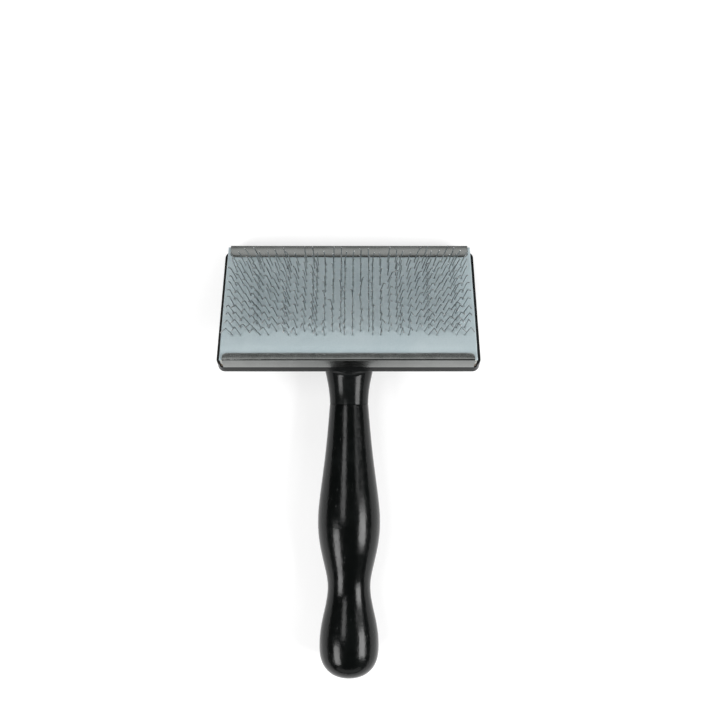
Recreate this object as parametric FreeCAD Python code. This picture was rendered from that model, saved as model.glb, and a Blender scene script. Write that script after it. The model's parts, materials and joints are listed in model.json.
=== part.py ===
import FreeCAD, Part
import math
import os

# Slicker brush for grooming a long-haired pet.
#
# The brush lies on its back with the wires up. +Z is up, +Y points from the handle to the far edge
# of the head, +X is to the right, and the origin is the middle of the footprint on the table.
# Lengths are in millimetres.
#
# The head is drawn in its own axes and then tilted into place: x runs across the head, y runs from
# the edge next to the handle to the far edge, and z runs from the flat back up to the wires.

# ---- driving dimensions -------------------------------------------------------------------------

HEAD_TILT = 29.0          # degrees between the wire face and the handle
HEAD_WIDTH = 101.6        # across the moulded head
HEAD_LENGTH = 53.5        # along the head's slope
HEAD_START = 122.1        # from the butt of the handle to the head's near lower edge
REST_FLAT = 1.27          # depth of the corner that is cut away where the head rests

HANDLE_LENGTH = 109.5     # turned part, from the butt to the shoulder
HANDLE_RADIUS = 12.5      # at the widest place
TENON_RADIUS = 5.5
TENON_LENGTH = 16.0
TENON_CHAMFER = 0.8

PAD_WIDTH = 98.4
STRIP_WIDTH = 96.2        # the tin strips stop short of the pad's ends
NEAR_FLANGE = 3.3         # how far the strip next to the handle reaches over the pad
FAR_FLANGE = 5.6          # the same for the strip along the far edge
FLANGE_CORNER = 1.6       # rounding of a flange's two outer corners
TIN = 0.4
LAYER_CORNER = 1.0        # rounding of the corners of the board, the foam and the cloths

# Heights in the head's own axes, from the back of the head upwards.
FLOOR_TOP = 2.2
SIDE_WALL_TOP = 4.1       # long walls, under the strips' folded lips
BOARD_LEDGE = SIDE_WALL_TOP + TIN
BOARD_TOP = 5.5           # also the top of the two end walls
CUSHION_TOP = 7.5
CLOTH_BOTTOM = 8.2
CLOTH_TOP = 8.7
FACING_TOP = 9.7

WIRE_RADIUS = 0.2
WIRE_HOLE_RADIUS = 0.21
SHANK = 6.8               # from the facing to the knee
TIP = 4.6                 # from the knee to the point
NEAR_KNEE = 44.0          # degrees that the nearest wires are bent towards the handle
FAR_KNEE = 32.0           # the same for the farthest wires
KNEE_RADIUS = 1.0
CROWN_RADIUS = 0.45       # bend between a leg and the crown behind the cloth
CROWN_GAP = 0.03          # between the crown and the cloth
ROOT_BEND = 2.0           # the first stretch of a shank, over which it takes up its lean
SPLAY = 14.0              # degrees that the outer wires lean outwards
SPLAY_REACH = 30.0        # from here outwards all wires lean that much
SPLAY_POWER = 1.6         # how slowly the lean sets in from the middle
NEAR_LEAN = -4.0          # degrees that the nearest wires lean away from the handle
FAR_LEAN = 8.0            # the same for the farthest wires: the rows fan out a little

ROWS = 11
ROW_PITCH = 3.26
FIRST_ROW = 11.2          # from the head's near edge
LEG_GAP = 3.1             # between the two legs of one wire
WIRE_PITCH = 10.8         # between one wire and the next in the same half row
HALF_ROW_SHIFT = 6.2      # sideways shift of the second half row
FIRST_WIRES = 9           # wires in the first half row of each row
SECOND_WIRES = 8

SCREW_RADIUS = 1.3
SCREW_HEAD_RADIUS = 2.6
SCREW_HEAD_DEPTH = 1.4
SCREW_LENGTH = 4.4
SCREW_HOLE_DEPTH = 2.6    # into the carrier board
RECESS_LENGTH = 2.8       # cross recess in a carrier screw
RECESS_WIDTH = 0.6
RECESS_DEPTH = 0.9
SCREW_PLACES = [(-38.0, 13.5), (38.0, 13.5), (-38.0, 39.5), (38.0, 39.5)]

# ---- values worked out from them ----------------------------------------------------------------

TILT = math.radians(HEAD_TILT)
STRIP_TOP = FACING_TOP + TIN
STRIP_CORNER = 0.6
FIELD_HALF = (WIRE_PITCH * (FIRST_WIRES - 1) + LEG_GAP) / 2
HEAD_DROP = HEAD_LENGTH * math.sin(TILT)
HEAD_NEAR_Z = HEAD_DROP - REST_FLAT
FAR_CORNER = (
    HEAD_START
    + (HEAD_LENGTH - STRIP_CORNER) * math.cos(TILT)
    + (STRIP_TOP - STRIP_CORNER) * math.sin(TILT)
    + STRIP_CORNER
)
BUTT_Y = -FAR_CORNER / 2
AXIS_Z = HANDLE_RADIUS

X = FreeCAD.Vector(1, 0, 0)
Y = FreeCAD.Vector(0, 1, 0)
Z = FreeCAD.Vector(0, 0, 1)


def point(x, y, z):
    return FreeCAD.Vector(x, y, z)


def box(x0, x1, y0, y1, z0, z1):
    """A box between two corners."""
    return Part.makeBox(x1 - x0, y1 - y0, z1 - z0, point(x0, y0, z0))


def plate(half_width, y0, y1, z0, z1, corner):
    """A plate that is centred across the head, with rounded corners."""
    shape = box(-half_width, half_width, y0, y1, z0, z1)
    upright = [e for e in shape.Edges if abs(e.tangentAt(e.FirstParameter).z) > 0.99]
    return shape.makeFillet(corner, upright)


def on_head(shape):
    """Tilts a shape that was drawn in the head's axes into its place on the brush."""
    place = FreeCAD.Placement(
        point(0, BUTT_Y + HEAD_START, HEAD_NEAR_Z), FreeCAD.Rotation(X, -HEAD_TILT)
    )
    moved = shape.copy()
    moved.Placement = place.multiply(moved.Placement)
    return moved


def turned(outline):
    """Turns a shape about the handle's axis. The outline is (distance from the butt, radius)
    curves and corners, and it starts and ends on the axis."""
    shape = Part.Face(Part.Wire(outline)).revolve(point(0, 0, 0), Y, 360)
    shape.translate(point(0, BUTT_Y, AXIS_Z))
    return shape


def spline(points, first, last):
    """A smooth edge through (distance from the butt, radius) points, with its two end directions."""
    places = [point(r, y, 0) for y, r in points]
    lengths = [0.0]
    for a, b in zip(places, places[1:]):
        lengths.append(lengths[-1] + a.distanceToPoint(b))
    curve = Part.BSplineCurve()
    curve.interpolate(
        Points=places, Parameters=lengths, InitialTangent=first, FinalTangent=last, Scale=False
    )
    return curve.toShape()


def lines(points):
    """Straight edges through (distance from the butt, radius) points."""
    places = [point(r, y, 0) for y, r in points]
    return [Part.makeLine(a, b) for a, b in zip(places, places[1:])]


def rod(radius, start, end):
    """A round rod on the handle's axis, between two distances from the butt."""
    return Part.makeCylinder(radius, end - start, point(0, BUTT_Y + start, AXIS_Z), Y)


# ---- handle -------------------------------------------------------------------------------------

SHOULDER_RADIUS = 7.7
SHOULDER_SLOPE = 0.08     # how fast the handle still narrows at the shoulder
HANDLE_WAVE = [           # (distance from the butt, radius)
    (0.0, 0.0),
    (1.9, 7.6),
    (5.6, 10.7),
    (12.0, 11.9),
    (20.5, 11.2),
    (29.0, 9.4),
    (37.0, 8.6),
    (44.5, 9.9),
    (54.0, 11.9),
    (62.0, HANDLE_RADIUS),
    (71.0, 11.9),
    (81.0, 10.6),
    (95.0, 8.95),
    (HANDLE_LENGTH, SHOULDER_RADIUS),
]

HANDLE_SCREW_RADIUS = 1.75
HANDLE_SCREW_SEAT = 135.0  # where the washer sits, from the butt
HANDLE_SCREW_REACH = 114.5  # the screw's point, inside the tenon
HANDLE_SCREW_POINT = 3.0   # length of the tapered point
HANDLE_SCREW_TIP = 0.3     # radius at the very end of the point
HANDLE_SCREW_HEAD_RADIUS = 3.2
HANDLE_SCREW_HEAD = 2.2
HANDLE_SCREW_ROUNDING = 0.8
CROSS_LENGTH = 4.0         # cross slot in the handle screw
CROSS_WIDTH = 0.8
CROSS_DEPTH = 1.2
WASHER_THICKNESS = 0.7
WASHER_RADIUS = 3.7
WASHER_CLEARANCE = 0.1


def handle():
    """Turned wooden handle with a tenon that goes into the neck."""
    tenon_end = HANDLE_LENGTH + TENON_LENGTH
    wave = spline(HANDLE_WAVE, X, Y - X * SHOULDER_SLOPE)
    rest = lines([
        (HANDLE_LENGTH, SHOULDER_RADIUS),
        (HANDLE_LENGTH, TENON_RADIUS),
        (tenon_end - TENON_CHAMFER, TENON_RADIUS),
        (tenon_end, TENON_RADIUS - TENON_CHAMFER),
        (tenon_end, 0.0),
        (0.0, 0.0),
    ])
    body = turned([wave] + rest)
    return body.cut(rod(HANDLE_SCREW_RADIUS, HANDLE_SCREW_REACH, tenon_end))


# ---- moulded head -------------------------------------------------------------------------------

NECK_WAVE = [             # (distance from the butt, radius)
    (HANDLE_LENGTH, SHOULDER_RADIUS),
    (115.0, 8.1),
    (121.0, 9.2),
    (128.0, 10.6),
    (135.0, 11.0),
    (143.0, 9.9),
    (151.0, 6.6),
    (157.0, 0.0),
]
NECK_ROOT = 3.0           # rounding where the neck runs into the back of the tray
SOCKET_CLEARANCE = 0.05
SOCKET_END = HANDLE_LENGTH + TENON_LENGTH + 0.5
PILOT_CLEARANCE = 0.15
COUNTERBORE_RADIUS = 4.2
HEAD_CORNER = 3.0
BACK_EDGE = 1.2
BOARD_INSET = 2.2         # how far the carrier board's lower step is set in from the head's edge
BOARD_FIT = 0.1
WELL_CORNER = 1.0


def head_tray():
    """Shallow tray: low long walls and higher end walls around the carrier board."""
    tray = plate(HEAD_WIDTH / 2, 0, HEAD_LENGTH, 0, BOARD_TOP, HEAD_CORNER)
    back = [e for e in tray.Edges if e.BoundBox.ZMax < 0.01]
    tray = tray.makeFillet(BACK_EDGE, back)
    side = PAD_WIDTH / 2 + BOARD_FIT
    over = 1.0
    tray = tray.cut(box(-side, side, -over, HEAD_LENGTH + over, SIDE_WALL_TOP, BOARD_TOP + over))
    well = plate(
        side - BOARD_INSET,
        BOARD_INSET - BOARD_FIT,
        HEAD_LENGTH - BOARD_INSET + BOARD_FIT,
        FLOOR_TOP,
        BOARD_TOP,
        WELL_CORNER,
    )
    return tray.cut(well)


def neck():
    """Flared neck behind the tray, solid up to the middle of the tray's floor."""
    wave = spline(NECK_WAVE, Y, -X)
    first, last = NECK_WAVE[0], NECK_WAVE[-1]
    shape = turned([wave] + lines([last, (HANDLE_LENGTH, 0.0), first]))
    side = HEAD_WIDTH / 2
    above = box(-side, side, -HEAD_LENGTH, 2 * HEAD_LENGTH, FLOOR_TOP / 2, HEAD_LENGTH)
    return shape.cut(on_head(above))


def with_soft_root(shape):
    """Rounds the inner corner where the neck runs into the flat back."""
    curved = [e for e in shape.Edges if isinstance(e.Curve, Part.BSplineCurve)]
    root = max(curved, key=lambda e: e.Length)
    return shape.makeFillet(NECK_ROOT, [root])


def countersunk(x, y):
    """The space that one countersunk carrier screw takes up in the tray's floor."""
    cone = Part.makeCone(SCREW_HEAD_RADIUS, SCREW_RADIUS, SCREW_HEAD_DEPTH, point(x, y, 0), Z)
    return cone.fuse(Part.makeCylinder(SCREW_RADIUS, FLOOR_TOP, point(x, y, 0), Z))


def head_shell():
    """One moulding: tray, neck, socket for the handle and seat for the handle's screw."""
    shape = with_soft_root(on_head(head_tray()).fuse(neck()).removeSplitter())
    shape = shape.cut(rod(TENON_RADIUS + SOCKET_CLEARANCE, HANDLE_LENGTH, SOCKET_END))
    shape = shape.cut(rod(HANDLE_SCREW_RADIUS + PILOT_CLEARANCE, SOCKET_END, HANDLE_SCREW_SEAT))
    shape = shape.cut(rod(COUNTERBORE_RADIUS, HANDLE_SCREW_SEAT, HEAD_START + HEAD_LENGTH))
    for x, y in SCREW_PLACES:
        shape = shape.cut(on_head(countersunk(x, y)))
    side = HEAD_WIDTH / 2
    table = box(-side, side, BUTT_Y + HEAD_START, -BUTT_Y, -HEAD_LENGTH, 0)
    return shape.cut(table).removeSplitter()


def handle_screw():
    """Wood screw on the handle's axis, from inside the head into the tenon."""
    top = HANDLE_SCREW_SEAT + WASHER_THICKNESS
    shank = rod(HANDLE_SCREW_RADIUS, HANDLE_SCREW_REACH + HANDLE_SCREW_POINT, top)
    place = point(0, BUTT_Y + HANDLE_SCREW_REACH, AXIS_Z)
    tip = Part.makeCone(HANDLE_SCREW_TIP, HANDLE_SCREW_RADIUS, HANDLE_SCREW_POINT, place, Y)
    head = rod(HANDLE_SCREW_HEAD_RADIUS, top, top + HANDLE_SCREW_HEAD)
    rim = [e for e in head.Edges if e.BoundBox.YMin > BUTT_Y + top + HANDLE_SCREW_HEAD - 0.01]
    head = head.makeFillet(HANDLE_SCREW_ROUNDING, rim)
    shape = shank.fuse(tip).fuse(head)
    long, wide = CROSS_LENGTH / 2, CROSS_WIDTH / 2
    for turn in (0, 90):
        slot = box(-long, long, -CROSS_DEPTH, CROSS_DEPTH, -wide, wide)
        slot.rotate(point(0, 0, 0), Y, turn)
        slot.translate(point(0, BUTT_Y + top + HANDLE_SCREW_HEAD, AXIS_Z))
        shape = shape.cut(slot)
    return shape.removeSplitter()


def handle_washer():
    """Flat washer under the handle screw's head."""
    start, end = HANDLE_SCREW_SEAT, HANDLE_SCREW_SEAT + WASHER_THICKNESS
    hole = rod(HANDLE_SCREW_RADIUS + WASHER_CLEARANCE, start, end)
    return rod(WASHER_RADIUS, start, end).cut(hole)


# ---- pad ----------------------------------------------------------------------------------------


def layer(inset, z0, z1, side_inset=0.0):
    """One layer of the pad, set in from the head's long edges and from the pad's ends."""
    half = PAD_WIDTH / 2 - side_inset
    return plate(half, inset, HEAD_LENGTH - inset, z0, z1, LAYER_CORNER)


def carrier_board():
    """Stepped board: the lower step fits the tray, the strips fold under the upper one."""
    lower = layer(BOARD_INSET, FLOOR_TOP, BOARD_LEDGE, side_inset=BOARD_INSET)
    board = lower.fuse(layer(TIN, BOARD_LEDGE, BOARD_TOP))
    for x, y in SCREW_PLACES:
        hole = Part.makeCylinder(SCREW_RADIUS, SCREW_HOLE_DEPTH, point(x, y, FLOOR_TOP), Z)
        board = board.cut(hole)
    return on_head(board.removeSplitter())


def carrier_screw(x, y):
    """Small countersunk screw with a cross recess, head flush with the back."""
    head = Part.makeCone(SCREW_HEAD_RADIUS, SCREW_RADIUS, SCREW_HEAD_DEPTH, point(x, y, 0), Z)
    shank = Part.makeCylinder(SCREW_RADIUS, SCREW_LENGTH, point(x, y, 0), Z)
    screw = head.fuse(shank)
    long, wide = RECESS_LENGTH / 2, RECESS_WIDTH / 2
    for a, b in ((long, wide), (wide, long)):
        screw = screw.cut(box(x - a, x + a, y - b, y + b, 0, RECESS_DEPTH))
    return on_head(screw.removeSplitter())


def carrier_screws():
    """The four screws that hold the carrier board in the tray."""
    return Part.makeCompound([carrier_screw(x, y) for x, y in SCREW_PLACES])


def foam_cushion():
    """Springy layer between the board and the wired cloth."""
    return on_head(layer(TIN, BOARD_TOP, CUSHION_TOP))


def pierced_layer(inset, z0, z1):
    """A layer of the pad with a hole for each leg of each wire."""
    solid = layer(inset, z0, z1)
    floor = min(solid.Faces, key=lambda f: f.CenterOfMass.z)
    holes = [
        Part.Wire(Part.makeCircle(WIRE_HOLE_RADIUS, point(x, y, z0), Z))
        for y, starts in half_rows()
        for start in starts
        for x in (start, start + LEG_GAP)
    ]
    face = Part.makeFace([floor.OuterWire] + holes, "Part::FaceMakerCheese")
    return face.extrude(point(0, 0, z1 - z0))


def foundation_cloth():
    """Woven ply that holds the crowns of the wires."""
    return on_head(pierced_layer(TIN, CLOTH_BOTTOM, CLOTH_TOP))


def rubber_facing():
    """Pale facing that the wires come out of."""
    return on_head(pierced_layer(STRIP_CORNER, CLOTH_TOP, FACING_TOP))


def edge_strip(flange):
    """Tin strip along the near edge: flange over the pad, side, and lip under the board."""
    half = STRIP_WIDTH / 2
    top = box(-half, half, 0, flange, FACING_TOP, STRIP_TOP)
    side = box(-half, half, 0, TIN, SIDE_WALL_TOP, STRIP_TOP)
    lip = box(-half, half, 0, BOARD_INSET - BOARD_FIT, SIDE_WALL_TOP, BOARD_LEDGE)
    strip = top.fuse(side).fuse(lip).removeSplitter()

    def near(value, wanted):
        return abs(value - wanted) < 0.01

    def along(y, z):
        return [
            e
            for e in strip.Edges
            if near(e.BoundBox.XLength, STRIP_WIDTH)
            and near(e.CenterOfMass.y, y)
            and near(e.CenterOfMass.z, z)
        ]

    strip = strip.makeFillet(STRIP_CORNER, along(0, STRIP_TOP))
    strip = strip.makeFillet(STRIP_CORNER - TIN, along(TIN, FACING_TOP))
    ends = [
        e
        for e in strip.Edges
        if near(e.CenterOfMass.y, flange)
        and near(e.BoundBox.ZLength, TIN)
        and near(e.BoundBox.XLength, 0)
    ]
    return strip.makeFillet(FLANGE_CORNER, ends)


def near_edge_strip():
    return on_head(edge_strip(NEAR_FLANGE))


def far_edge_strip():
    strip = edge_strip(FAR_FLANGE)
    strip.rotate(point(0, HEAD_LENGTH / 2, 0), Z, 180)
    return on_head(strip)


# ---- wires --------------------------------------------------------------------------------------


def half_rows():
    """(y, starts) of every half row, in the head's axes: where each wire's first leg stands."""
    rows = []
    for row in range(ROWS):
        y = FIRST_ROW + row * ROW_PITCH
        rows.append((y, [-FIELD_HALF + i * WIRE_PITCH for i in range(FIRST_WIRES)]))
        second = -FIELD_HALF + HALF_ROW_SHIFT
        rows.append((y + ROW_PITCH / 2, [second + i * WIRE_PITCH for i in range(SECOND_WIRES)]))
    return rows


def lean_at(x):
    """How far the wires at x lean outwards, in radians."""
    share = min(1.0, abs(x) / SPLAY_REACH) ** SPLAY_POWER
    return math.copysign(math.radians(SPLAY) * share, x)


def leg_edges(x, share, towards_crown):
    """Centreline of one leg, from the crown behind the cloth up to the point. The share is 0 in
    the nearest row and 1 in the farthest."""
    crown_z = CLOTH_BOTTOM - CROWN_RADIUS - CROWN_GAP
    bend_start = point(x + towards_crown * CROWN_RADIUS, 0, crown_z)
    bend_end = point(x, 0, crown_z + CROWN_RADIUS)
    half = CROWN_RADIUS * (1 - math.sqrt(0.5))
    bend_middle = point(x + towards_crown * half, 0, crown_z + half)
    root = point(x, 0, FACING_TOP)

    # the shank leaves the facing upright, takes up its lean and runs straight to the knee
    lean_x = lean_at(x)
    lean_y = math.radians(NEAR_LEAN + (FAR_LEAN - NEAR_LEAN) * share)
    knee = math.radians(NEAR_KNEE + (FAR_KNEE - NEAR_KNEE) * share)
    lean = math.hypot(lean_x, lean_y)
    outwards = point(lean_x / lean, lean_y / lean, 0)
    radius = ROOT_BEND / lean

    def on_root(angle):
        return root + outwards * (radius * (1 - math.cos(angle))) + Z * (radius * math.sin(angle))

    leaning = outwards * math.sin(lean) + Z * math.cos(lean)
    straight = SHANK - ROOT_BEND - KNEE_RADIUS * math.tan(knee / 2)
    knee_start = on_root(lean) + leaning * straight

    # the knee turns the wire towards the handle
    to_handle = (leaning * leaning.dot(Y) - Y).normalize()

    def on_knee(angle):
        return (
            knee_start
            + leaning * (KNEE_RADIUS * math.sin(angle))
            + to_handle * (KNEE_RADIUS * (1 - math.cos(angle)))
        )

    knee_end = on_knee(knee)
    pointing = leaning * math.cos(knee) + to_handle * math.sin(knee)
    return [
        Part.Arc(bend_start, bend_middle, bend_end).toShape(),
        Part.makeLine(bend_end, root),
        Part.Arc(root, on_root(lean / 2), on_root(lean)).toShape(),
        Part.makeLine(on_root(lean), knee_start),
        Part.Arc(knee_start, on_knee(knee / 2), knee_end).toShape(),
        Part.makeLine(knee_end, knee_end + pointing * TIP),
    ]


def wire(start, y):
    """One bent wire: two legs with knees, joined by a crown that lies behind the cloth."""
    share = (y - FIRST_ROW) / (ROW_PITCH * (ROWS - 0.5))
    left = leg_edges(start, share, 1)
    right = leg_edges(start + LEG_GAP, share, -1)
    crown = Part.makeLine(left[0].Vertexes[0].Point, right[0].Vertexes[0].Point)
    path = Part.Wire(left[::-1] + [crown] + right)
    tip_line = left[-1]
    point_end = tip_line.Vertexes[-1].Point
    along = point_end - tip_line.Vertexes[0].Point
    section = Part.Wire(Part.makeCircle(WIRE_RADIUS, point_end, along))
    shape = path.makePipeShell([section], True, False)
    shape.translate(point(0, y, 0))
    return on_head(shape)


def wire_row(row):
    """One row of wires, which is two half rows with one set between the other."""
    pieces = []
    for y, starts in half_rows()[2 * row : 2 * row + 2]:
        pieces += [wire(start, y) for start in starts]
    return Part.makeCompound(pieces)


# ---- all nodes ----------------------------------------------------------------------------------


def main():
    nodes = {
        "handle": handle(),
        "head_shell": head_shell(),
        "handle_screw": handle_screw(),
        "handle_washer": handle_washer(),
        "carrier_board": carrier_board(),
        "carrier_screws": carrier_screws(),
        "foam_cushion": foam_cushion(),
        "foundation_cloth": foundation_cloth(),
        "rubber_facing": rubber_facing(),
        "near_edge_strip": near_edge_strip(),
        "far_edge_strip": far_edge_strip(),
    }
    for row in range(ROWS):
        nodes[f"wire_row_{row + 1:02d}"] = wire_row(row)

    os.makedirs("parts", exist_ok=True)
    for name, shape in nodes.items():
        shape.exportStep(f"parts/{name}.step")
        print(name, len(shape.Solids), "solids,", round(shape.Volume, 1), "mm3, valid", shape.isValid())


main()
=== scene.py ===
import bpy
import json
import math
import random

import numpy as np
from mathutils import Matrix, Vector

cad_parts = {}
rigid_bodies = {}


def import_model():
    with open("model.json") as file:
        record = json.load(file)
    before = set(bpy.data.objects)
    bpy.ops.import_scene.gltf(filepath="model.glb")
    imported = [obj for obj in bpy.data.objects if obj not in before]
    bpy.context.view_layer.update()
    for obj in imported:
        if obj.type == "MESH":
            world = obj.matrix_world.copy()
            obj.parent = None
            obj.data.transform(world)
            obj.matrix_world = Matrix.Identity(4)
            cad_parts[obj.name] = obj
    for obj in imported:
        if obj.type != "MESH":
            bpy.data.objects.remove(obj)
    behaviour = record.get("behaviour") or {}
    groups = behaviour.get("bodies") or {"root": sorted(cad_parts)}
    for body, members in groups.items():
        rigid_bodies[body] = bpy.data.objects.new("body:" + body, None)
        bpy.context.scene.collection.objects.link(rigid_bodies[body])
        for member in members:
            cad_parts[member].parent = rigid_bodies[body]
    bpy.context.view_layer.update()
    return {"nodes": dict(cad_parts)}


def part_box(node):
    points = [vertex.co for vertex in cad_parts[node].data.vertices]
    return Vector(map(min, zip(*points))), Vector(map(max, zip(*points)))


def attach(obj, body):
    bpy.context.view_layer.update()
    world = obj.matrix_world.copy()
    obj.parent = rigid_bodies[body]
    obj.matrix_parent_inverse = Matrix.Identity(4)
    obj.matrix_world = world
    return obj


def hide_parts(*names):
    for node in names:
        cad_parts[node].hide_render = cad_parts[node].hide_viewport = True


for leftover in list(bpy.data.objects):
    bpy.data.objects.remove(leftover)

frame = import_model()

# A slicker brush that lies on its back. Sizes below are in millimetres, as in the CAD model, and
# make_piece turns them into metres. The head's pieces are drawn in the head's own axes: x across
# the head, y from the edge next to the handle to the far edge, z from its back up to the wires.

MM = 0.001

# ---- head, pad and strips -----------------------------------------------------------------------

HEAD_TILT = math.radians(29.0)
HEAD_START = 122.1        # from the handle's butt to the head's near lower edge
HEAD_LENGTH = 53.5
REST_FLAT = 1.27          # depth of the corner that is cut away where the head rests
PAD_HALF = 49.2
STRIP_HALF = 48.1
NEAR_FLANGE = 3.3         # how far the strip next to the handle reaches over the pad
FAR_FLANGE = 5.6
NEAR_PRESS = 0.38         # how deep a flange's inner edge presses into the facing
FAR_PRESS = 0.3
PRESS_REACH = 2.6         # how far beyond the flange the facing is still pressed down
FLANGE_CORNER = 1.6       # rounding of a flange's outer corners, seen from above
STRIP_CORNER = 0.6        # outer radius of the bend along a strip
TIN = 0.4
SIDE_WALL_TOP = 4.1       # top of the head's long walls, under the strips' folded lips
BOARD_TOP = 5.5
CUSHION_TOP = 7.5
CLOTH_BOTTOM = 8.2
CLOTH_TOP = 8.7
FACING_TOP = 9.7
SWELL = 0.5               # how much higher the face stands in the middle than at its edges

GRID_STEP = 0.33          # between points of the facing
RIM_CURL = 0.45           # rounding of the facing's rim
PUCKER_REACH = 1.6        # around each wire
RING_HEIGHT = 0.05        # the raised ring around a wire, its radius and its width
RING_RADIUS = 0.95
RING_WIDTH = 0.35
DIMPLE_DEPTH = 0.2        # the dimple that the wire stands in, and its width
DIMPLE_WIDTH = 0.5

# ---- wires --------------------------------------------------------------------------------------

WIRE_RADIUS = 0.2
GROUND = 0.11             # how much a wire's ground end is tapered
SHANK = 6.8               # from the facing to the knee
TIP = 4.6                 # from the knee to the point
NEAR_KNEE = math.radians(44.0)
FAR_KNEE = math.radians(32.0)
FAR_TWIST = math.radians(24.0)     # how far the outer wires' knees in the last row turn inwards
KNEE_RADIUS = 1.0
CROWN_RADIUS = 0.45       # bend between a leg and the crown behind the cloth
CROWN_GAP = 0.03          # from the end of that bend to the cloth
ROOT_BEND = 2.0           # the first stretch of a shank, over which it takes up its lean
ROOT_DEPTH = 0.3          # how far below the face that stretch starts
SPLAY = math.radians(14.0)
SPLAY_REACH = 30.0        # from here outwards all wires lean by the whole splay
SPLAY_POWER = 1.6         # how slowly the lean sets in from the middle
NEAR_LEAN = math.radians(-4.0)     # the nearest row leans towards the handle
FAR_LEAN = math.radians(8.0)       # and the farthest row away from it
ROWS = 11
ROW_PITCH = 3.26
FIRST_ROW = 11.2          # from the head's near edge
LEG_GAP = 3.1             # between the two legs of one wire
WIRE_PITCH = 10.8
HALF_ROW_SHIFT = 6.2      # sideways shift of the second half row of each row
FIRST_WIRES = 9
SECOND_WIRES = 8
FIELD_HALF = (WIRE_PITCH * (FIRST_WIRES - 1) + LEG_GAP) / 2

# Faults of the wires, as standard deviations. Angles are in degrees.
LEAN_FAULT_X = 2.2
LEAN_FAULT_Y = 1.8
KNEE_FAULT = 3.0
TWIST_FAULT = 4.0
SHANK_FAULT = 0.12
TIP_FAULT = 0.1
STRAY_SHARE = 0.08        # share of the legs that stand out of line, by up to the next two
STRAY_X = 7
STRAY_Y = 4

# ---- handle -------------------------------------------------------------------------------------

HANDLE_LENGTH = 109.5
SHOULDER_RADIUS = 7.7
SHOULDER_ROUND = 0.35
TENON_RADIUS = 5.5
TENON_LENGTH = 16.0
TENON_CHAMFER = 0.8
TENON_FILLET = 0.1        # where the tenon meets the shoulder
AXIS_Z = 12.5             # height of the handle's axis
WAVE_STEPS = 420          # points along the turned outline
HANDLE_WAVE = [           # (distance from the butt, radius)
    (0.0, 0.0),
    (1.9, 7.6),
    (5.6, 10.7),
    (12.0, 11.9),
    (20.5, 11.2),
    (29.0, 9.4),
    (37.0, 8.6),
    (44.5, 9.9),
    (54.0, 11.9),
    (62.0, 12.5),
    (71.0, 11.9),
    (81.0, 10.6),
    (95.0, 8.95),
    (HANDLE_LENGTH, SHOULDER_RADIUS),
]

# ---- places -------------------------------------------------------------------------------------

BUTT_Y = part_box("handle")[0][1]
HEAD_NEAR_Z = HEAD_LENGTH * math.sin(HEAD_TILT) - REST_FLAT
ON_HEAD = (
    Matrix.Translation((0, BUTT_Y + HEAD_START * MM, HEAD_NEAR_Z * MM))
    @ Matrix.Rotation(-HEAD_TILT, 4, "X")
)
ON_AXIS = Matrix.Translation((0, BUTT_Y, AXIS_Z * MM))


# ---- pieces -------------------------------------------------------------------------------------


def make_piece(name, points, faces, place, look, nodes, flat=False):
    """A mesh piece from points in millimetres, which stands for these CAD nodes."""
    mesh = bpy.data.meshes.new(name)
    mesh.from_pydata([(x * MM, y * MM, z * MM) for x, y, z in points], [], faces)
    mesh.update()
    if not flat:
        mesh.shade_smooth()
    mesh.materials.append(look)
    piece = bpy.data.objects.new(name, mesh)
    bpy.context.scene.collection.objects.link(piece)
    piece.matrix_world = place
    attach(piece, "root")
    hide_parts(*nodes)
    return piece


def crisp(piece, angle=35.0):
    """Smooth shading that keeps the piece's real edges sharp."""
    piece.data.shade_smooth()
    piece.data.set_sharp_from_angle(angle=math.radians(angle))


def grid_faces(rows, columns, wrap=False, start=0):
    """Quads of a grid of points that is stored row by row. With wrap, each row is a closed loop."""
    faces = []
    for i in range(rows - 1):
        for j in range(columns if wrap else columns - 1):
            a = start + i * columns + j
            b = start + i * columns + (j + 1) % columns
            faces.append((a, b, b + columns, a + columns))
    return faces


def cap(points, faces, ring):
    """Closes a ring of points, given counterclockwise as seen from outside, around its middle."""
    middle = len(points)
    points.append(tuple(sum(points[i][axis] for i in ring) / len(ring) for axis in range(3)))
    for a, b in zip(ring, ring[1:] + ring[:1]):
        faces.append((middle, a, b))


def loft(loops):
    """Points and faces of a closed solid through closed loops, with a cap at each end."""
    count = len(loops[0])
    points = [p for loop in loops for p in loop]
    faces = grid_faces(len(loops), count, wrap=True)
    last = (len(loops) - 1) * count
    cap(points, faces, list(range(count))[::-1])
    cap(points, faces, list(range(last, last + count)))
    return points, faces


def rounded_loop(half_width, y0, y1, corner, z, across=96, along=50):
    """A closed rectangular loop with round corners, counterclockwise seen from above."""
    centres = [
        (half_width - corner, y0 + corner, -90),
        (half_width - corner, y1 - corner, 0),
        (-half_width + corner, y1 - corner, 90),
        (-half_width + corner, y0 + corner, 180),
    ]
    turns = 6
    corners = [
        [
            (
                cx + corner * math.cos(math.radians(start + 90 * k / turns)),
                cy + corner * math.sin(math.radians(start + 90 * k / turns)),
            )
            for k in range(turns + 1)
        ]
        for cx, cy, start in centres
    ]
    loop = []
    for arc, following, pieces in zip(corners, corners[1:] + corners[:1], (along, across) * 2):
        loop += arc
        (ax, ay), (bx, by) = arc[-1], following[0]
        for k in range(1, pieces):
            t = k / pieces
            loop.append((ax + (bx - ax) * t, ay + (by - ay) * t))
    return [(x, y, z) for x, y in loop]


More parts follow.
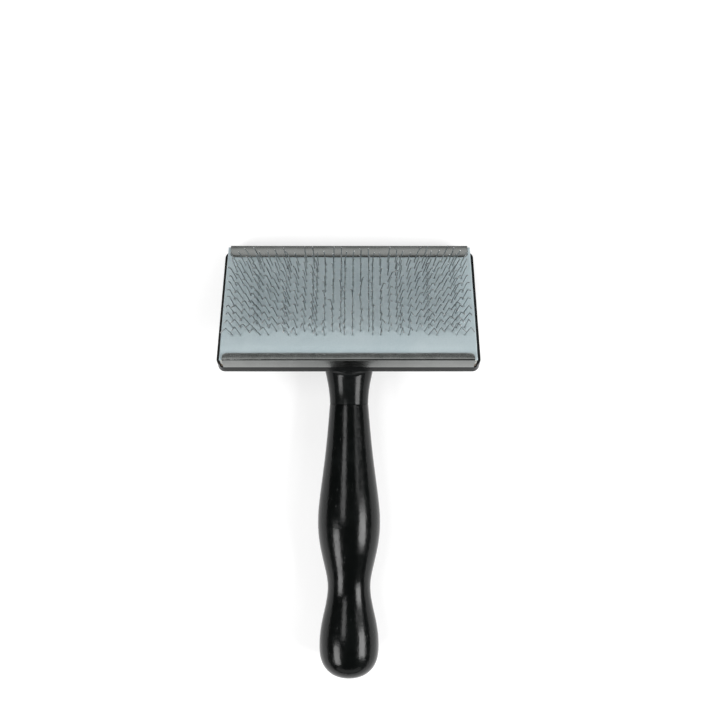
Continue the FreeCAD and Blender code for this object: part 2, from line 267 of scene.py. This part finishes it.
def spline_through(points, first, last, steps):
    """Evenly spaced points on the smooth curve through these, with its two end directions."""
    p = np.array(points, float)
    at = np.concatenate([[0], np.cumsum(np.linalg.norm(np.diff(p, axis=0), axis=1))])
    gap = np.diff(at)
    count = len(p)
    system = np.zeros((count, count))
    known = np.zeros((count, 2))
    system[0, 0] = system[-1, -1] = 1
    known[0], known[-1] = first, last
    for i in range(1, count - 1):
        system[i, i - 1 : i + 2] = gap[i], 2 * (gap[i - 1] + gap[i]), gap[i - 1]
        known[i] = 3 * (
            gap[i] * (p[i] - p[i - 1]) / gap[i - 1] + gap[i - 1] * (p[i + 1] - p[i]) / gap[i]
        )
    slope = np.linalg.solve(system, known)
    u = np.linspace(0, at[-1], steps)
    k = np.clip(np.searchsorted(at, u, side="right") - 1, 0, count - 2)
    h = gap[k][:, None]
    t = (u - at[k])[:, None] / h
    return (
        (1 + 2 * t) * (1 - t) ** 2 * p[k]
        + t * (1 - t) ** 2 * h * slope[k]
        + t * t * (3 - 2 * t) * p[k + 1]
        + t * t * (t - 1) * h * slope[k + 1]
    )


# ---- materials ----------------------------------------------------------------------------------


class Look:
    """A material and short calls for the nodes that the looks below are made of."""

    def __init__(self, name, **sockets):
        self.material = bpy.data.materials.new(name)
        self.material.use_nodes = True
        self.tree = self.material.node_tree
        self.shader = self.tree.nodes["Principled BSDF"]
        for socket, value in sockets.items():
            self.shader.inputs[socket.replace("_", " ")].default_value = value
        self.place = self.node("ShaderNodeTexCoord").outputs["Object"]

    def node(self, kind, **inputs):
        made = self.tree.nodes.new(kind)
        for name, value in inputs.items():
            self.feed(made.inputs[name.replace("_", " ")], value)
        return made

    def feed(self, socket, value):
        if isinstance(value, bpy.types.NodeSocket):
            self.tree.links.new(value, socket)
        else:
            socket.default_value = value

    def stretched(self, x, y, z):
        """Coordinates scaled per axis, for grain and streaks."""
        return self.node("ShaderNodeMapping", Vector=self.place, Scale=(x, y, z)).outputs[0]

    def noise(self, size, detail=3.0, roughness=0.5, place=None):
        """Noise whose blotches are about size millimetres across."""
        made = self.node(
            "ShaderNodeTexNoise",
            Vector=place or self.place,
            Scale=1 / (size * MM),
            Detail=detail,
            Roughness=roughness,
        )
        return made.outputs["Fac"]

    def cells(self, size, place=None, randomness=1.0):
        """Distance to the nearest of scattered points that are about size millimetres apart."""
        made = self.node(
            "ShaderNodeTexVoronoi",
            Vector=place or self.place,
            Scale=1 / (size * MM),
            Randomness=randomness,
        )
        return made.outputs["Distance"]

    def calc(self, operation, a, b=0.0, clamp=False):
        made = self.tree.nodes.new("ShaderNodeMath")
        made.operation = operation
        made.use_clamp = clamp
        self.feed(made.inputs[0], a)
        self.feed(made.inputs[1], b)
        return made.outputs[0]

    def span(self, value, low, high, to_low=0.0, to_high=1.0):
        """value from low..high, spread over to_low..to_high and held at its ends."""
        made = self.node(
            "ShaderNodeMapRange",
            Value=value,
            From_Min=low,
            From_Max=high,
            To_Min=to_low,
            To_Max=to_high,
        )
        return made.outputs[0]

    def blend(self, share, a, b):
        """A colour between a and b."""
        made = self.tree.nodes.new("ShaderNodeMix")
        made.data_type = "RGBA"
        self.feed(made.inputs["Factor"], share)
        self.feed(made.inputs["A"], a)
        self.feed(made.inputs["B"], b)
        return made.outputs["Result"]

    def bump(self, height, depth, under=None):
        """A bump of about depth millimetres, on top of another bump if one is given."""
        made = self.node("ShaderNodeBump", Height=height, Distance=depth * MM, Strength=1.0)
        if under:
            self.feed(made.inputs["Normal"], under)
        return made.outputs[0]

    def wear(self, **outputs):
        for socket, value in outputs.items():
            self.feed(self.shader.inputs[socket.replace("_", " ")], value)
        return self.material


def rgb(red, green, blue):
    return (red, green, blue, 1.0)


def lacquer():
    """Thick black gloss lacquer on turned wood: orange peel, pinholes, a trace of grain."""
    look = Look("black_lacquer", Specular_IOR_Level=0.22)
    peel = look.noise(1.0, 2.0)
    swell = look.noise(6.0, 1.0)
    grain = look.noise(0.9, 4.0, place=look.stretched(1.0, 0.06, 1.0))
    pores = look.span(look.cells(2.3), 0.06, 0.13)
    bump = look.bump(swell, 0.05)
    bump = look.bump(grain, 0.012, bump)
    bump = look.bump(peel, 0.045, bump)
    bump = look.bump(pores, 0.04, bump)
    dust = look.span(look.noise(14.0, 5.0, 0.7), 0.5, 0.8)
    return look.wear(
        Base_Color=look.blend(dust, rgb(0.0014, 0.0019, 0.0018), rgb(0.0036, 0.0046, 0.0044)),
        Roughness=look.span(look.noise(3.0, 4.0, 0.65), 0.35, 0.7, 0.14, 0.24),
        Normal=bump,
    )


def black_plastic():
    """Glossy black moulding with faint flow marks and hairline scuffs."""
    look = Look("black_plastic", Specular_IOR_Level=0.15)
    flow = look.noise(9.0, 2.0)
    fine = look.noise(0.35, 3.0)
    scuffs = look.noise(0.5, 5.0, 0.7, place=look.stretched(0.07, 1.0, 1.0))
    bump = look.bump(flow, 0.05)
    bump = look.bump(fine, 0.003, bump)
    dust = look.span(look.noise(7.0, 6.0, 0.75), 0.52, 0.8)
    return look.wear(
        Base_Color=look.blend(dust, rgb(0.0045, 0.005, 0.005), rgb(0.012, 0.013, 0.013)),
        Roughness=look.span(scuffs, 0.45, 0.7, 0.14, 0.3),
        Normal=bump,
    )


def tinplate():
    """Bright rolled tin: streaks along the strip, soft dents and a few smudges."""
    look = Look("tinplate", Metallic=1.0)
    streaks = look.noise(0.25, 4.0, 0.6, place=look.stretched(0.02, 1.0, 1.0))
    smudge = look.noise(8.0, 4.0, 0.65)
    dents = look.noise(5.0, 1.0)
    bump = look.bump(dents, 0.024)
    bump = look.bump(streaks, 0.003, bump)
    return look.wear(
        Base_Color=look.blend(smudge, rgb(0.16, 0.168, 0.162), rgb(0.25, 0.258, 0.252)),
        Roughness=look.span(look.calc("ADD", streaks, smudge), 0.7, 1.3, 0.15, 0.28),
        Normal=bump,
    )


def wire_steel():
    """Drawn and hardened steel wire: dark, with draw lines and brighter patches."""
    look = Look("wire_steel", Metallic=1.0)
    draw = look.noise(0.4, 3.0, place=look.stretched(1.0, 1.0, 0.1))
    patches = look.noise(5.0, 3.0)
    return look.wear(
        Base_Color=look.blend(
            look.span(patches, 0.35, 0.7), rgb(0.24, 0.25, 0.25), rgb(0.58, 0.59, 0.59)
        ),
        Roughness=look.span(draw, 0.3, 0.7, 0.22, 0.38),
        Normal=look.bump(draw, 0.006),
    )


def pale_rubber():
    """Pale blue-grey rubber face: a fine cloth print, faint stains and a chalky bloom."""
    look = Look("pale_rubber", Sheen_Weight=0.1, Sheen_Roughness=0.5)
    weave_u = look.node(
        "ShaderNodeTexWave", Vector=look.place, Scale=0.32 / MM, Distortion=0.6, Detail=2.0
    )
    turned_place = look.node(
        "ShaderNodeMapping", Vector=look.place, Rotation=(0, 0, math.pi / 2)
    ).outputs[0]
    weave_v = look.node(
        "ShaderNodeTexWave", Vector=turned_place, Scale=0.32 / MM, Distortion=0.6, Detail=2.0
    )
    weave = look.calc("MULTIPLY", weave_u.outputs["Fac"], weave_v.outputs["Fac"])
    stains = look.noise(16.0, 5.0, 0.6)
    speckle = look.noise(0.7, 4.0, 0.7)
    bump = look.bump(look.noise(2.4, 3.0), 0.05)
    bump = look.bump(weave, 0.02, bump)
    shade = look.blend(
        look.span(stains, 0.3, 0.7), rgb(0.325, 0.4, 0.425), rgb(0.38, 0.45, 0.47)
    )
    bloom = look.span(speckle, 0.35, 0.75, 0.0, 0.25)
    return look.wear(
        Base_Color=look.blend(bloom, shade, rgb(0.52, 0.58, 0.59)),
        Roughness=look.span(speckle, 0.3, 0.7, 0.5, 0.68),
        Normal=bump,
    )


def woven_cloth():
    """Plain-woven cotton ply, seen at the pad's cut edges."""
    look = Look("woven_cloth", Roughness=0.9, Sheen_Weight=0.2)
    threads = look.noise(0.5, 4.0, 0.7, place=look.stretched(1.0, 1.0, 3.0))
    return look.wear(
        Base_Color=look.blend(threads, rgb(0.5, 0.5, 0.45), rgb(0.72, 0.7, 0.63)),
        Normal=look.bump(threads, 0.12),
    )


def foam():
    """Open-cell foam with fine pores, their middles painted dark as shade in the holes."""
    look = Look("foam", Roughness=0.95)
    pores = look.span(look.cells(0.48), 0.14, 0.62)
    blotch = look.noise(6.0, 3.0)
    body = look.blend(blotch, rgb(0.33, 0.345, 0.33), rgb(0.45, 0.46, 0.44))
    return look.wear(
        # the pores' middles get the dark colour: painted shade in the foam's holes, on top of their
        # bump
        Base_Color=look.blend(pores, rgb(0.09, 0.095, 0.09), body),
        Normal=look.bump(pores, 0.12),
    )


def fibreboard():
    """Raw brown fibreboard with short fibres."""
    look = Look("fibreboard", Roughness=0.8)
    fibres = look.noise(0.6, 5.0, 0.7, place=look.stretched(0.25, 1.0, 1.0))
    return look.wear(
        Base_Color=look.blend(fibres, rgb(0.06, 0.045, 0.03), rgb(0.15, 0.11, 0.075)),
        Normal=look.bump(fibres, 0.05),
    )


def zinc_plate():
    """Zinc-plated screws with faint turning marks and dulled patches."""
    look = Look("zinc_plate", Metallic=1.0)
    patches = look.noise(1.2, 4.0, 0.6)
    fine = look.noise(0.25, 3.0)
    return look.wear(
        Base_Color=look.blend(patches, rgb(0.45, 0.46, 0.44), rgb(0.68, 0.68, 0.65)),
        Roughness=look.span(patches, 0.35, 0.7, 0.24, 0.45),
        Normal=look.bump(fine, 0.01),
    )


# ---- handle -------------------------------------------------------------------------------------


def lathe(outline, around=112):
    """Points and faces of a shape turned about y, from (y, radius) points between two poles."""
    ring = [
        (math.cos(2 * math.pi * k / around), math.sin(2 * math.pi * k / around))
        for k in range(around)
    ]
    points = [(r * c, y, -r * s) for y, r in outline[1:-1] for c, s in ring]
    faces = grid_faces(len(outline) - 2, around, wrap=True)
    for pole, first, flip in ((0, 0, 1), (-1, (len(outline) - 3) * around, -1)):
        points.append((0.0, outline[pole][0], 0.0))
        tip = len(points) - 1
        for k in range(around):
            faces.append((tip, first + (k + 1) % around, first + k)[::flip])
    return points, faces


def handle_piece(look):
    """The turned handle, with its shoulder and the tenon inside the neck."""
    straight_out = (0, 1)
    towards_shoulder = (1, -0.08)
    wave = spline_through(HANDLE_WAVE, straight_out, towards_shoulder, WAVE_STEPS)
    outline = [tuple(p) for p in wave[:-2]]
    soft = SHOULDER_ROUND
    for k in range(5):
        angle = math.pi / 2 * k / 4
        outline.append((
            HANDLE_LENGTH - soft + soft * math.sin(angle),
            SHOULDER_RADIUS - soft + soft * math.cos(angle),
        ))
    end = HANDLE_LENGTH + TENON_LENGTH
    outline += [
        (HANDLE_LENGTH, TENON_RADIUS + TENON_FILLET),
        (HANDLE_LENGTH + TENON_FILLET, TENON_RADIUS),
        (end - TENON_CHAMFER, TENON_RADIUS),
        (end, TENON_RADIUS - TENON_CHAMFER),
        (end, 0.0),
    ]
    points, faces = lathe(outline)
    piece = make_piece(
        "turned_handle", points, faces, ON_AXIS, look, ["handle"]
    )
    crisp(piece, 50.0)
    return piece


# ---- pad ----------------------------------------------------------------------------------------


def half_rows():
    """(row, y, starts) of every half row of wires: where each wire's first leg stands."""
    rows = []
    for row in range(ROWS):
        y = FIRST_ROW + row * ROW_PITCH
        rows.append((row, y, [-FIELD_HALF + i * WIRE_PITCH for i in range(FIRST_WIRES)]))
        second = -FIELD_HALF + HALF_ROW_SHIFT
        rows.append((row, y + ROW_PITCH / 2, [second + i * WIRE_PITCH for i in range(SECOND_WIRES)]))
    return rows


def pad_swell(x, y):
    """How far the cushioned face stands above its flat height, away from the strips."""
    across = 1 - abs(x / PAD_HALF) ** 6
    t = np.clip((y - NEAR_FLANGE) / (HEAD_LENGTH - NEAR_FLANGE - FAR_FLANGE), 0, 1)
    return SWELL * across * 4 * t * (1 - t)


def pressed(distance, flange, press):
    """How deep a flange presses the facing down, at a distance from its outer edge."""
    under = press * np.clip((distance - STRIP_CORNER) / (flange - STRIP_CORNER), 0, 1)
    beyond = np.maximum(distance - flange, 0)
    return under * np.exp(-((beyond / PRESS_REACH) ** 2))


def fine_steps(low, high, step, edge=(0.0, 0.04, 0.12, 0.25, 0.45)):
    """Places from low to high that crowd together at both ends."""
    count = max(2, round((high - low - 2 * edge[-1]) / step))
    middle = np.linspace(low + edge[-1], high - edge[-1], count + 1)[1:-1]
    return np.concatenate([low + np.array(edge), middle, high - np.array(edge[::-1])])


def facing_piece(look):
    """The pale face: gently swollen, rounded at its rim, and puckered around every wire."""
    edge = STRIP_CORNER
    xs = fine_steps(-PAD_HALF, PAD_HALF, GRID_STEP)
    ys = fine_steps(edge, HEAD_LENGTH - edge, GRID_STEP)
    x, y = np.meshgrid(xs, ys)
    z = FACING_TOP + pad_swell(x, y)
    z -= pressed(y, NEAR_FLANGE, NEAR_PRESS)
    z -= pressed(HEAD_LENGTH - y, FAR_FLANGE, FAR_PRESS)
    for _, row_y, starts in half_rows():
        for start in starts:
            for leg_x in (start, start + LEG_GAP):
                i0, i1 = np.searchsorted(ys, (row_y - PUCKER_REACH, row_y + PUCKER_REACH))
                j0, j1 = np.searchsorted(xs, (leg_x - PUCKER_REACH, leg_x + PUCKER_REACH))
                near = (slice(i0, i1), slice(j0, j1))
                d = np.hypot(x[near] - leg_x, y[near] - row_y)
                ring = RING_HEIGHT * np.exp(-(((d - RING_RADIUS) / RING_WIDTH) ** 2))
                dimple = DIMPLE_DEPTH * np.exp(-((d / DIMPLE_WIDTH) ** 2))
                z[near] += ring - dimple
    rim = np.minimum.reduce([
        x + PAD_HALF, PAD_HALF - x, y - edge, HEAD_LENGTH - edge - y
    ])
    inside = np.clip(rim, 0, RIM_CURL)
    z -= RIM_CURL - np.sqrt(RIM_CURL**2 - (RIM_CURL - inside) ** 2)
    rows, columns = x.shape
    points = np.stack([x, y, z], axis=-1).reshape(-1, 3).tolist()
    faces = grid_faces(rows, columns)
    # the rim goes down to the cloth, and a flat face closes the underside
    border = (
        [j for j in range(columns)]
        + [i * columns + columns - 1 for i in range(1, rows)]
        + [(rows - 1) * columns + j for j in range(columns - 2, -1, -1)]
        + [i * columns for i in range(rows - 2, 0, -1)]
    )
    first = len(points)
    points += [(points[b][0], points[b][1], CLOTH_TOP) for b in border]
    count = len(border)
    for k in range(count):
        following = (k + 1) % count
        faces.append((border[following], border[k], first + k, first + following))
    cap(points, faces, list(range(first, first + count))[::-1])
    piece = make_piece(
        "pierced_facing", points, faces, ON_HEAD, look, ["rubber_facing"]
    )
    crisp(piece, 60.0)
    return piece


def cloth_piece(look, chance):
    """The woven ply under the facing, a little frayed at its cut ends."""
    set_back = 0.15
    bevel_in = 0.12
    corner = 1.0
    frayed_from = 45
    levels = (
        (bevel_in, CLOTH_BOTTOM),
        (0.0, 8.35),
        (0.0, 8.55),
        (bevel_in, CLOTH_TOP),
    )
    loops = []
    for inset, z in levels:
        low = TIN + inset
        high = HEAD_LENGTH - TIN - inset
        loop = rounded_loop(PAD_HALF - set_back - inset, low, high, corner, z)
        frayed = []
        for px, py, pz in loop:
            if abs(px) > frayed_from:
                px *= 1 + chance.uniform(-0.002, 0.001)
            frayed.append((px, py, pz))
        loops.append(frayed)
    points, faces = loft(loops)
    piece = make_piece(
        "woven_ply", points, faces, ON_HEAD, look, ["foundation_cloth"]
    )
    crisp(piece)
    return piece


def cushion_piece(look):
    """Foam slab: its free ends bulge, and its rim rises to meet the cloth."""
    set_back = 0.3
    corner = 0.8
    profile = [               # (how far inwards from the side, height), from the bottom up
        (0.25, BOARD_TOP),
        (-0.05, BOARD_TOP + 0.35),
        (-0.2, BOARD_TOP + 1.1),
        (-0.2, BOARD_TOP + 1.7),
        (0.0, CLOTH_BOTTOM - 0.2),
        (0.3, CLOTH_BOTTOM - 0.02),
        (2.5, CLOTH_BOTTOM - 0.05),
        (6.0, CUSHION_TOP),
    ]
    loops = []
    for inset, z in profile:
        sides = max(inset, 0.0)
        loops.append(rounded_loop(
            PAD_HALF - set_back - inset, TIN + sides, HEAD_LENGTH - TIN - sides, corner, z
        ))
    points, faces = loft(loops)
    piece = make_piece("soft_cushion", points, faces, ON_HEAD, look, ["foam_cushion"])
    crisp(piece, 60.0)
    return piece


# ---- tin strips ---------------------------------------------------------------------------------


def strip_profile(flange):
    """Outline of a strip's section as (y, z): flange, round corner, side and folded lip."""
    top = FACING_TOP + TIN
    ledge = SIDE_WALL_TOP + TIN
    lip = 2.1
    outer, inner, fold = STRIP_CORNER, STRIP_CORNER - TIN, 0.25

    def arc(cy, cz, radius, start, end, count=7):
        angles = [math.radians(start + (end - start) * k / (count - 1)) for k in range(count)]
        return [(cy + radius * math.cos(a), cz + radius * math.sin(a)) for a in angles]

    tip = TIN / 2
    return (
        arc(flange - tip, top - tip, tip, -90, 90, 5)
        + arc(outer, top - outer, outer, 90, 180)
        + arc(fold, SIDE_WALL_TOP + fold, fold, 180, 270, 4)
        + arc(lip - tip, SIDE_WALL_TOP + tip, tip, -90, 90, 4)
        + [(TIN, ledge)]
        + arc(TIN + inner, FACING_TOP - inner, inner, 180, 90, 5)
    )


def press_down(outline, flange, press):
    """Tilts the flange in a strip's outline, so that its inner edge presses into the facing."""
    slope = press / (flange - STRIP_CORNER)
    on_top = FACING_TOP - STRIP_CORNER
    return [
        (y, z - slope * max(0.0, y - STRIP_CORNER) if z > on_top else z) for y, z in outline
    ]


def strip_piece(name, node, flange, press, place, look, chance):
    """One tin strip, with rounded flange corners and the slight waves of bent sheet."""
    corner = FLANGE_CORNER
    ends = [0.0, 0.05, 0.15, 0.35, 0.7, 1.1, corner]   # close together along the round corner
    count = 150
    flange_from = 9           # heights of the flange and of the side's middle
    side_from, side_to = 5.5, 8.5
    middle = [
        corner + (2 * STRIP_HALF - 2 * corner) * k / count for k in range(1, count)
    ]
    stations = ends + middle + [2 * STRIP_HALF - e for e in reversed(ends)]
    waves = [
        (chance.uniform(0.01, 0.035), chance.uniform(7, 34), chance.uniform(0, 6.3))
        for _ in range(5)
    ]
    loops = []
    for s in stations:
        from_end = min(s, 2 * STRIP_HALF - s, corner)
        cut = corner - math.sqrt(corner**2 - (corner - from_end) ** 2)
        wave = sum(a * math.sin(2 * math.pi * s / length + turn) for a, length, turn in waves)
        loop = []
        for y, z in press_down(strip_profile(flange - cut), flange, press):
            lift = wave * max(0.0, min(1.0, (y - 1.0) / 2.0)) if z > flange_from else 0.0
            push = abs(wave) if side_from < z < side_to and y < TIN / 2 else 0.0
            loop.append((s - STRIP_HALF, y + push, z + lift))
        loops.append(loop)
    points, faces = loft(loops)
    piece = make_piece(name, points, faces, place, look, [node])
    crisp(piece, 40.0)
    return piece


# ---- wires --------------------------------------------------------------------------------------


def tube(path, radius, sides=10):
    """Points and faces of a round wire along a path, with slightly ground ends."""
    path = [Vector(p) for p in path]
    start = (path[1] - path[0]).normalized()
    end = (path[-1] - path[-2]).normalized()
    path = [path[0], path[0] + start * GROUND] + path[1:-1] + [path[-1] - end * GROUND, path[-1]]
    radii = [radius - GROUND] + [radius] * (len(path) - 2) + [radius - GROUND]
    side = start.orthogonal().normalized()
    loops = []
    for i, p in enumerate(path):
        ahead = (path[min(i + 1, len(path) - 1)] - path[max(i - 1, 0)]).normalized()
        side = (side - ahead * side.dot(ahead)).normalized()
        other = ahead.cross(side)
        loops.append([
            tuple(
                p
                + side * (radii[i] * math.cos(2 * math.pi * k / sides))
                + other * (radii[i] * math.sin(2 * math.pi * k / sides))
            )
            for k in range(sides)
        ])
    return loft(loops)


def lean_at(x):
    """How far the wires at x lean outwards at the knee, as in the CAD model."""
    share = min(1.0, abs(x) / SPLAY_REACH) ** SPLAY_POWER
    return math.copysign(SPLAY * share, x)


def leg_path(x, y, inwards, chance):
    """One leg of a wire from the crown to its point, a little out of true."""
    crown_z = CLOTH_BOTTOM - CROWN_RADIUS - CROWN_GAP
    path = []
    for k in range(5):
        angle = math.pi / 2 * k / 4
        path.append(Vector((
            x + inwards * CROWN_RADIUS * (1 - math.sin(angle)),
            y,
            crown_z + CROWN_RADIUS * (1 - math.cos(angle)),
        )))
    path.append(Vector((x, y, FACING_TOP - ROOT_DEPTH)))
    share = (y - FIRST_ROW) / (ROW_PITCH * (ROWS - 0.5))
    fan = NEAR_LEAN + (FAR_LEAN - NEAR_LEAN) * share
    knee = NEAR_KNEE + (FAR_KNEE - NEAR_KNEE) * share
    lean_x = lean_at(x) + math.radians(chance.gauss(0, LEAN_FAULT_X))
    lean_y = fan + math.radians(chance.gauss(0, LEAN_FAULT_Y))
    if chance.random() < STRAY_SHARE:
        lean_x += math.radians(chance.uniform(-STRAY_X, STRAY_X))
        lean_y += math.radians(chance.uniform(-STRAY_Y, STRAY_Y))
    bend = knee + math.radians(chance.gauss(0, KNEE_FAULT))
    turned_in = FAR_TWIST * share * lean_at(x) / SPLAY
    twist = math.radians(chance.gauss(0, TWIST_FAULT)) - turned_in
    knee_start = SHANK + ROOT_DEPTH - KNEE_RADIUS * math.tan(bend / 2)
    shank = knee_start + chance.gauss(0, SHANK_FAULT)
    lean = math.hypot(lean_x, lean_y)
    outwards = Vector((lean_x / lean, lean_y / lean, 0.0))
    upwards = Vector((0.0, 0.0, 1.0))
    steps = 5
    place = path[-1].copy()
    for k in range(steps):
        angle = lean * (k + 0.5) / steps
        heading = outwards * math.sin(angle) + upwards * math.cos(angle)
        place = place + heading * (ROOT_BEND / steps)
        path.append(place.copy())
    ahead = outwards * math.sin(lean) + upwards * math.cos(lean)
    middle = place + ahead * ((shank - ROOT_BEND) / 2)
    place = place + ahead * (shank - ROOT_BEND)
    path += [middle, place.copy()]
    towards = Vector((math.sin(twist), -math.cos(twist), 0.0))
    towards = (towards - ahead * towards.dot(ahead)).normalized()
    turns = 6
    for k in range(turns):
        angle = bend * (k + 0.5) / turns
        step = KNEE_RADIUS * bend / turns
        place = place + (ahead * math.cos(angle) + towards * math.sin(angle)) * step
        path.append(place.copy())
    point = ahead * math.cos(bend) + towards * math.sin(bend)
    tip = TIP + chance.gauss(0, TIP_FAULT)
    path += [place + point * (tip / 2), place + point * tip]
    return path


def wire_row_piece(row, look, chance):
    """All wires of one row, as separate bent wires in one piece."""
    points, faces = [], []
    for number, y, starts in half_rows():
        if number != row:
            continue
        for start in starts:
            left = leg_path(start, y, 1, chance)
            right = leg_path(start + LEG_GAP, y, -1, chance)
            more_points, more_faces = tube(left[::-1] + right, WIRE_RADIUS)
            shift = len(points)
            points += more_points
            faces += [tuple(i + shift for i in face) for face in more_faces]
    name = f"{row + 1:02d}"
    piece = make_piece(
        f"bent_wires_{name}", points, faces, ON_HEAD, look, [f"wire_row_{name}"]
    )
    crisp(piece, 60.0)
    return piece


# ---- stage --------------------------------------------------------------------------------------


def floor():
    """A pale floor just under the brush, a little self-lit, so that it looks even and white."""
    half = 3.0
    just_below = -0.0001
    mesh = bpy.data.meshes.new("floor")
    mesh.from_pydata(
        [(-half, -half, 0), (half, -half, 0), (half, half, 0), (-half, half, 0)],
        [],
        [(0, 1, 2, 3)],
    )
    look = Look("pale_floor", Roughness=0.9)
    look.shader.inputs["Base Color"].default_value = rgb(0.5, 0.5, 0.5)
    look.shader.inputs["Emission Color"].default_value = rgb(1.0, 1.0, 1.0)
    look.shader.inputs["Emission Strength"].default_value = 0.55
    mesh.materials.append(look.material)
    plane = bpy.data.objects.new("floor", mesh)
    plane.location.z = just_below
    bpy.context.scene.collection.objects.link(plane)


def softbox(name, place, aim, width, length, radiance):
    """A soft rectangular light that looks at aim. Its width is square to y. All in metres."""
    light = bpy.data.lights.new(name, "AREA")
    light.shape = "RECTANGLE"
    light.size = width
    light.size_y = length
    light.energy = radiance * math.pi * width * length
    lamp = bpy.data.objects.new(name, light)
    back = (Vector(place) - Vector(aim)).normalized()
    across = Vector((0, 1, 0)).cross(back).normalized()
    lamp.matrix_world = Matrix.Translation(place) @ Matrix(
        (across, back.cross(across), back)
    ).transposed().to_4x4()
    bpy.context.scene.collection.objects.link(lamp)


def lights():
    """Four boxes that make the handle's highlights, three that light the tin, and a dim studio."""
    softbox("right_bright", (0.87, -0.27, 0.7), (0, -0.05, 0.02), 0.5, 0.56, 14.0)
    softbox("right_high", (0.7, 0.42, 0.95), (0, -0.03, 0.02), 0.26, 0.62, 3.8)
    softbox("left_low", (-0.82, -0.58, 0.76), (0, -0.05, 0.02), 0.46, 0.64, 11.5)
    softbox("left_high", (-0.45, 0.2, 1.15), (0, -0.03, 0.02), 0.36, 0.64, 5.2)
    softbox("behind", (0.0, 1.17, 0.87), (0, 0.05, 0.02), 1.8, 0.56, 1.25)
    softbox("behind_low", (0.0, 1.35, 0.34), (0, 0.05, 0.02), 1.8, 0.44, 0.4)
    softbox("front_low", (0.0, -1.35, 0.42), (0, 0.03, 0.02), 1.8, 0.5, 0.8)
    world = bpy.data.worlds.new("studio")
    world.use_nodes = True
    backdrop = world.node_tree.nodes["Background"]
    backdrop.inputs["Color"].default_value = rgb(1, 1, 1)
    backdrop.inputs["Strength"].default_value = 0.08
    bpy.context.scene.world = world


def camera():
    """Straight above the brush, as a product shot from about 37 cm. Places are in metres."""
    aside, from_butt, height = 0.0044, 0.127, 0.3743
    data = bpy.data.cameras.new("camera")
    data.sensor_width = 36
    data.lens = 45
    eye = bpy.data.objects.new("camera", data)
    eye.location = (aside, BUTT_Y + from_butt, height)
    bpy.context.scene.collection.objects.link(eye)
    bpy.context.scene.camera = eye


# ---- all together -------------------------------------------------------------------------------


def paint_cad_nodes():
    """Better materials on the CAD nodes that keep their own shape."""
    looks = {
        "head_shell": black_plastic(),
        "carrier_board": fibreboard(),
    }
    zinc = zinc_plate()
    for node in ("handle_screw", "handle_washer", "carrier_screws"):
        looks[node] = zinc
    for node, look in looks.items():
        for slot in frame["nodes"][node].material_slots:
            slot.material = look


def main():
    bpy.context.scene.view_settings.view_transform = "Standard"
    camera()
    lights()
    floor()
    chance = random.Random(5)
    paint_cad_nodes()
    handle_piece(lacquer())
    cushion_piece(foam())
    cloth_piece(woven_cloth(), chance)
    facing_piece(pale_rubber())
    tin = tinplate()
    turned_round = Matrix.Translation((0, HEAD_LENGTH * MM, 0)) @ Matrix.Rotation(math.pi, 4, "Z")
    strip_piece(
        "near_tin_strip", "near_edge_strip", NEAR_FLANGE, NEAR_PRESS, ON_HEAD, tin, chance
    )
    strip_piece(
        "far_tin_strip",
        "far_edge_strip",
        FAR_FLANGE,
        FAR_PRESS,
        ON_HEAD @ turned_round,
        tin,
        chance,
    )
    steel = wire_steel()
    for row in range(ROWS):
        wire_row_piece(row, steel, chance)


main()
